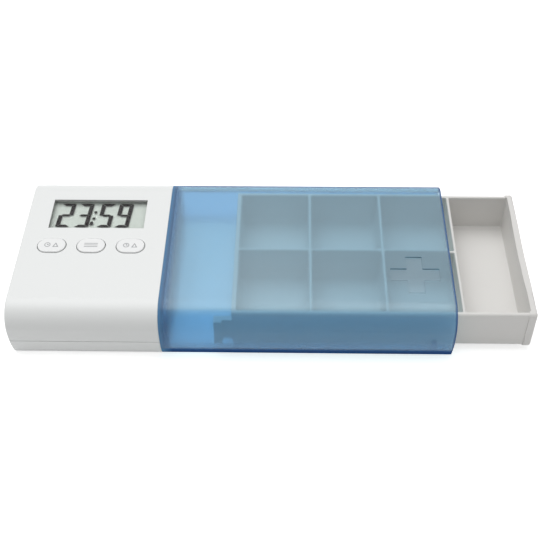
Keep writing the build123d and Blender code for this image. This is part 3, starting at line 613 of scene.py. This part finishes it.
def lcd_glass_material():
    """Thin display glass, bonded to its neighbours, so that it mirrors nothing."""
    skin_values = {
        "Colour Drift": 0.005,
        "Grain Size": 3 * MM,
        "Grain Depth": 0.0001 * MM,
        "Roughness": 0.01,
        "Roughness Drift": 0.01,
    }
    return plate_material("display_glass", skin_values, GLASS_IOR, 0.0)


def lcd_film_material():
    """Fine pearly film behind the display."""
    display = bpy.context.scene.pill_box_display
    values = {
        "Colour": rgba(display.film_colour),
        "Colour Drift": 0.04,
        "Drift Size": 0.3 * MM,
        "Grain Size": 0.08 * MM,
        "Grain Depth": 0.001 * MM,
        "Roughness": 0.5,
        "Roughness Drift": 0.1,
    }
    return solid_material("display_film", "moulded_skin", values)


def lcd_stroke_material():
    """Lit strokes of the display."""
    display = bpy.context.scene.pill_box_display
    values = {
        "Colour": rgba(display.ink_colour),
        "Colour Drift": 0.2,
        "Drift Size": 1 * MM,
        "Grain Size": 0.1 * MM,
        "Grain Depth": 0.0005 * MM,
        "Roughness": 0.5,
    }
    return solid_material("display_strokes", "moulded_skin", values, {"Specular IOR Level": 0.0})


def plain_plastic(name, base, roughness=0.45, grain=0.2 * MM):
    """An unseen or small plastic or ceramic piece."""
    values = {
        "Colour": rgba(base),
        "Colour Drift": 0.06,
        "Drift Size": 3 * MM,
        "Grain Size": grain,
        "Grain Depth": 0.006 * MM,
        "Roughness": roughness,
    }
    return solid_material(name, "moulded_skin", values)


def plain_metal(name, base, roughness=0.3):
    """Plated or rolled metal."""
    values = {"Colour": rgba(base), "Roughness": roughness}
    return solid_material(name, "metal_skin", values, {"Metallic": 1.0})


def strip_material():
    """Rubber strip made of dark and pale layers, seen as fine stripes along X."""
    material, tree, end = new_material("layered_rubber")
    place = add_node(tree, "ShaderNodeTexCoord").outputs["Object"]
    # The texture repeats about every third of this size
    wave_size = 0.6 * MM
    layers = add_node(tree, "ShaderNodeTexWave", values={"Scale": 1 / wave_size})
    tree.links.new(place, layers.inputs["Vector"])
    ramp = add_node(tree, "ShaderNodeValToRGB")
    dark, pale = ramp.color_ramp.elements
    dark.color = grey(0.02)
    pale.color = (0.5, 0.42, 0.42, 1.0)
    tree.links.new(layers.outputs["Fac"], ramp.inputs["Fac"])
    shader = add_node(tree, "ShaderNodeBsdfPrincipled", values={"Roughness": 0.7})
    tree.links.new(ramp.outputs["Color"], shader.inputs["Base Color"])
    tree.links.new(shader.outputs["BSDF"], end.inputs["Surface"])
    return material


def finish_nodes(names, material):
    """Give each named node's object the material, in all its slots."""
    for name in names:
        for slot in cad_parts[name].material_slots:
            slot.material = material


# Printed signs

def flat_piece(name, outlines, low, thickness):
    """A mesh of upright slabs. Each outline is a closed list of points, or a pair for a ring."""
    mesh = bpy.data.meshes.new(name)
    shape = bmesh.new()
    for outline in outlines:
        rings = outline if isinstance(outline, tuple) else (outline,)
        levels = []
        for z in (low, low + thickness):
            levels.append([[shape.verts.new((x, y, z)) for x, y in ring] for ring in rings])
        lower, upper = levels
        for bottom, top in zip(lower, upper):
            join_rings(shape, bottom, top)
        if len(rings) == 1:
            shape.faces.new(upper[0])
            shape.faces.new(list(reversed(lower[0])))
        else:
            join_rings(shape, upper[0], upper[1])
            join_rings(shape, lower[1], lower[0])
    bmesh.ops.recalc_face_normals(shape, faces=shape.faces)
    shape.to_mesh(mesh)
    shape.free()
    piece = bpy.data.objects.new(name, mesh)
    bpy.context.scene.collection.objects.link(piece)
    return piece


def join_rings(shape, first, second):
    """Four-sided faces between two rings with as many points each."""
    count = len(first)
    for step in range(count):
        after = (step + 1) % count
        shape.faces.new((first[step], first[after], second[after], second[step]))


def circle(x, y, radius, count=32):
    """Points of a circle."""
    turns = [2 * math.pi * step / count for step in range(count)]
    return [(x + radius * math.cos(turn), y + radius * math.sin(turn)) for turn in turns]


def clock_sign(x, y, prints, hand):
    """A ring with two hands, the upright one as long as the given share of its inner radius."""
    inner = prints.ring_radius - prints.stroke
    face = (circle(x, y, prints.ring_radius), circle(x, y, inner))
    half = prints.stroke / 2
    side = inner * SIDE_HAND
    top = inner * hand
    hands = [
        (x - half, y - half),
        (x + side, y - half),
        (x + side, y + half),
        (x + half, y + half),
        (x + half, y + top),
        (x - half, y + top),
    ]
    return [face, hands]


def up_sign(x, y, prints):
    """An outlined triangle that points away from the user."""
    half = prints.ring_radius
    foot_inset = 1.9 * prints.stroke
    tip_inset = 2.2 * prints.stroke
    outer = [(x - half, y - half), (x + half, y - half), (x, y + half)]
    inner = [
        (x - half + foot_inset, y - half + prints.stroke),
        (x + half - foot_inset, y - half + prints.stroke),
        (x, y + half - tip_inset),
    ]
    return [(outer, inner)]


def bars_sign(x, y, prints):
    """Three bars, one above the other."""
    half_length = prints.bar_length / 2
    half = prints.stroke / 2
    bars = []
    for step in (-1, 0, 1):
        middle = y + step * prints.bar_pitch
        bars.append(
            [
                (x - half_length, middle - half),
                (x + half_length, middle - half),
                (x + half_length, middle + half),
                (x - half_length, middle + half),
            ]
        )
    return bars


# Operators

class PILLBOX_OT_timer_case(Operator):
    """Give the timer's two shells and the battery door their satin white finish"""

    bl_idname = "pillbox.timer_case"
    bl_label = "Timer case"

    def execute(self, context):
        case = context.scene.pill_box_case
        white = case_material("case_plastic", case.shell_colour)
        finish_nodes(("timer_upper_shell", "timer_lower_cover", "battery_door"), white)
        return {"FINISHED"}


class PILLBOX_OT_buttons(Operator):
    """Give the push buttons their finish"""

    bl_idname = "pillbox.buttons"
    bl_label = "Push buttons"

    def execute(self, context):
        case = context.scene.pill_box_case
        finish_nodes(BUTTONS, case_material("button_plastic", case.button_colour))
        return {"FINISHED"}


class PILLBOX_OT_button_signs(Operator):
    """Print a plain sign on each push button"""

    bl_idname = "pillbox.button_signs"
    bl_label = "Button signs"

    def execute(self, context):
        prints = context.scene.pill_box_prints
        ink = plain_plastic("sign_ink", prints.ink_colour, roughness=0.55, grain=0.1 * MM)
        hands = {"left_button": SHORT_HAND, "right_button": LONG_HAND}
        for name, key in zip(BUTTONS, BUTTON_KEYS):
            low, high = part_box(name)
            x = (low.x + high.x) / 2
            y = (low.y + high.y) / 2
            if name in hands:
                outlines = clock_sign(x - prints.sign_gap, y, prints, hands[name])
                outlines += up_sign(x + prints.sign_gap, y, prints)
            else:
                outlines = bars_sign(x, y, prints)
            sign = flat_piece(name + "_sign", outlines, high.z, prints.thickness)
            sign.data.materials.append(ink)
            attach(sign, key)
        return {"FINISHED"}


class PILLBOX_OT_display(Operator):
    """Finish the window, the glasses, the lit strokes and the film of the display"""

    bl_idname = "pillbox.display"
    bl_label = "Display"

    def execute(self, context):
        finish_nodes(("display_window",), window_material())
        finish_nodes(("lcd_front_glass", "lcd_rear_glass"), lcd_glass_material())
        finish_nodes(("lcd_segments",), lcd_stroke_material())
        finish_nodes(("lcd_reflector",), lcd_film_material())
        finish_nodes(("lcd_holder",), plain_plastic("holder_plastic", (0.72, 0.72, 0.7)))
        finish_nodes(("contact_strip",), strip_material())
        return {"FINISHED"}


class PILLBOX_OT_electronics(Operator):
    """Finish the circuit board and what is soldered to it"""

    bl_idname = "pillbox.electronics"
    bl_label = "Electronics"

    def execute(self, context):
        mask = plain_plastic("solder_mask", (0.02, 0.2, 0.08), roughness=0.3, grain=0.4 * MM)
        finish_nodes(("circuit_board",), mask)
        resin = plain_plastic("black_resin", (0.01, 0.01, 0.012), roughness=0.15)
        finish_nodes(("chip_resin",), resin)
        finish_nodes(("board_components",), plain_plastic("chip_ceramic", (0.4, 0.3, 0.2)))
        black = plain_plastic("switch_plastic", (0.02, 0.02, 0.022), roughness=0.4)
        finish_nodes(("switch_bodies",) + PLUNGERS, black)
        can = plain_metal("crystal_can", (0.7, 0.7, 0.69), roughness=0.25)
        finish_nodes(("quartz_crystal",), can)
        return {"FINISHED"}


class PILLBOX_OT_sounder(Operator):
    """Finish the sounder's plate, ceramic and springs"""

    bl_idname = "pillbox.sounder"
    bl_label = "Sounder"

    def execute(self, context):
        brass = plain_metal("sounder_brass", (0.75, 0.55, 0.25), roughness=0.35)
        finish_nodes(("sounder_plate",), brass)
        finish_nodes(("sounder_ceramic",), plain_plastic("silvered_ceramic", (0.75, 0.74, 0.7)))
        finish_nodes(("sounder_contacts",), plain_metal("spring_steel", (0.72, 0.7, 0.66)))
        return {"FINISHED"}


class PILLBOX_OT_battery(Operator):
    """Finish the coin cell and its two contacts"""

    bl_idname = "pillbox.battery"
    bl_label = "Battery"

    def execute(self, context):
        can = plain_metal("cell_can", (0.74, 0.74, 0.73), roughness=0.22)
        finish_nodes(("coin_cell",), can)
        plate = plain_metal("contact_plate", (0.75, 0.73, 0.68), roughness=0.28)
        finish_nodes(("battery_contact_positive", "battery_contact_negative"), plate)
        return {"FINISHED"}


class PILLBOX_OT_screws(Operator):
    """Finish the case screws and the board screws"""

    bl_idname = "pillbox.screws"
    bl_label = "Screws"

    def execute(self, context):
        finish_nodes(("case_screws", "board_screws"), plain_metal("zinc_plate", (0.6, 0.61, 0.63)))
        return {"FINISHED"}


class PILLBOX_OT_sleeve(Operator):
    """Give the sleeve its frosted see-through blue, with painted shade on its front and back walls
    and beside the timer
    """

    bl_idname = "pillbox.sleeve"
    bl_label = "Sleeve"

    def execute(self, context):
        finish_nodes(("sleeve",), sleeve_material())
        return {"FINISHED"}


class PILLBOX_OT_tray(Operator):
    """Give the tray its smooth white finish"""

    bl_idname = "pillbox.tray"
    bl_label = "Tray"

    def execute(self, context):
        finish_nodes(("tray",), tray_material())
        return {"FINISHED"}


def set_camera(stage):
    """Camera at the photographed angle."""
    data = bpy.data.cameras.new("camera")
    data.sensor_fit = "HORIZONTAL"
    data.sensor_width = SENSOR_WIDTH
    data.lens = stage.lens
    camera = bpy.data.objects.new("camera", data)
    bpy.context.scene.collection.objects.link(camera)
    level = math.cos(stage.pitch)
    ahead = Vector(
        (math.sin(stage.heading) * level, math.cos(stage.heading) * level, -math.sin(stage.pitch))
    )
    camera.rotation_mode = "QUATERNION"
    turn = Quaternion((0, 0, 1), stage.roll)
    camera.rotation_quaternion = ahead.to_track_quat("-Z", "Y") @ turn
    camera.location = stage.camera_place
    bpy.context.scene.camera = camera


def seen_share(tree):
    """1 for rays from the camera, from gloss and through glass, and 0 for the others."""
    path = tree.nodes.new("ShaderNodeLightPath")
    mirrored = path.outputs["Is Glossy Ray"]
    seen = math_node(tree, "MAXIMUM", path.outputs["Is Camera Ray"], mirrored)
    return math_node(tree, "MAXIMUM", seen, path.outputs["Is Transmission Ray"])


def set_floor(stage):
    """Pale floor under the pill box."""
    half = stage.floor_size / 2
    mesh = bpy.data.meshes.new("floor")
    level = cad_low.z - FLOOR_GAP
    corners = ((-half, -half), (half, -half), (half, half), (-half, half))
    mesh.from_pydata([(x, y, level) for x, y in corners], [], [(0, 1, 2, 3)])
    floor = bpy.data.objects.new("floor", mesh)
    bpy.context.scene.collection.objects.link(floor)
    material, tree, end = new_material("floor_paint")
    paint = add_node(tree, "ShaderNodeBsdfDiffuse", values={"Color": rgba(stage.floor_colour)})
    lift = tree.nodes.new("ShaderNodeEmission")
    strength = math_node(tree, "MULTIPLY", seen_share(tree), stage.floor_lift)
    tree.links.new(strength, lift.inputs["Strength"])
    both = tree.nodes.new("ShaderNodeAddShader")
    tree.links.new(paint.outputs["BSDF"], both.inputs[0])
    tree.links.new(lift.outputs["Emission"], both.inputs[1])
    tree.links.new(both.outputs["Shader"], end.inputs["Surface"])
    mesh.materials.append(material)


def set_sky(stage):
    """Even light from all round, seen as plain white."""
    world = bpy.data.worlds.new("sky")
    world.use_nodes = True
    tree = world.node_tree
    tree.nodes.clear()
    seen = tree.nodes.new("ShaderNodeBackground")
    light = add_node(tree, "ShaderNodeBackground", values={"Strength": stage.sky_level})
    for node in (seen, light):
        node.inputs["Color"].default_value = grey(1.0)
    lighting = light.outputs["Background"]
    both = mixed_shaders(tree, seen_share(tree), lighting, seen.outputs["Background"])
    end = tree.nodes.new("ShaderNodeOutputWorld")
    tree.links.new(both, end.inputs["Surface"])
    bpy.context.scene.world = world


def set_lamp(stage):
    """Large soft lamp overhead, turned towards the pill box."""
    data = bpy.data.lights.new("overhead_lamp", "AREA")
    data.size = stage.lamp_size
    data.energy = stage.lamp_power
    lamp = bpy.data.objects.new("overhead_lamp", data)
    bpy.context.scene.collection.objects.link(lamp)
    lamp.location = stage.lamp_place
    down = -Vector(stage.lamp_place)
    lamp.rotation_mode = "QUATERNION"
    lamp.rotation_quaternion = down.to_track_quat("-Z", "Y")


class PILLBOX_OT_stage(Operator):
    """Set the camera, the floor and the light"""

    bl_idname = "pillbox.stage"
    bl_label = "Stage"

    def execute(self, context):
        stage = context.scene.pill_box_stage
        context.scene.view_settings.view_transform = "Standard"
        set_camera(stage)
        set_floor(stage)
        set_sky(stage)
        set_lamp(stage)
        return {"FINISHED"}


SETTINGS = {
    "pill_box_case": PillBoxCase,
    "pill_box_prints": PillBoxPrints,
    "pill_box_display": PillBoxDisplay,
    "pill_box_sleeve": PillBoxSleeve,
    "pill_box_tray": PillBoxTray,
    "pill_box_stage": PillBoxStage,
}
OPERATORS = (
    PILLBOX_OT_timer_case,
    PILLBOX_OT_buttons,
    PILLBOX_OT_button_signs,
    PILLBOX_OT_display,
    PILLBOX_OT_electronics,
    PILLBOX_OT_sounder,
    PILLBOX_OT_battery,
    PILLBOX_OT_screws,
    PILLBOX_OT_sleeve,
    PILLBOX_OT_tray,
    PILLBOX_OT_stage,
)


class PILLBOX_PT_pieces(Panel):
    """List of the pill box's operators"""

    bl_idname = "PILLBOX_PT_pieces"
    bl_label = "Pill box"
    bl_space_type = "VIEW_3D"
    bl_region_type = "UI"
    bl_category = "Pill box"

    def draw(self, context):
        for operator in OPERATORS:
            self.layout.operator(operator.bl_idname)


CLASSES = tuple(SETTINGS.values()) + OPERATORS + (PILLBOX_PT_pieces,)


def register():
    """Register the classes and hang the settings on the scene."""
    for item in CLASSES:
        bpy.utils.register_class(item)
    for name, kind in SETTINGS.items():
        setattr(bpy.types.Scene, name, PointerProperty(type=kind))


def unregister():
    """Take the settings and the classes away again."""
    for name in SETTINGS:
        delattr(bpy.types.Scene, name)
    for item in reversed(CLASSES):
        bpy.utils.unregister_class(item)


def main():
    """Register the add-on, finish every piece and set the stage."""
    register()
    for operator in OPERATORS:
        group, name = operator.bl_idname.split(".")
        getattr(getattr(bpy.ops, group), name)()


if __name__ == "__main__":
    main()
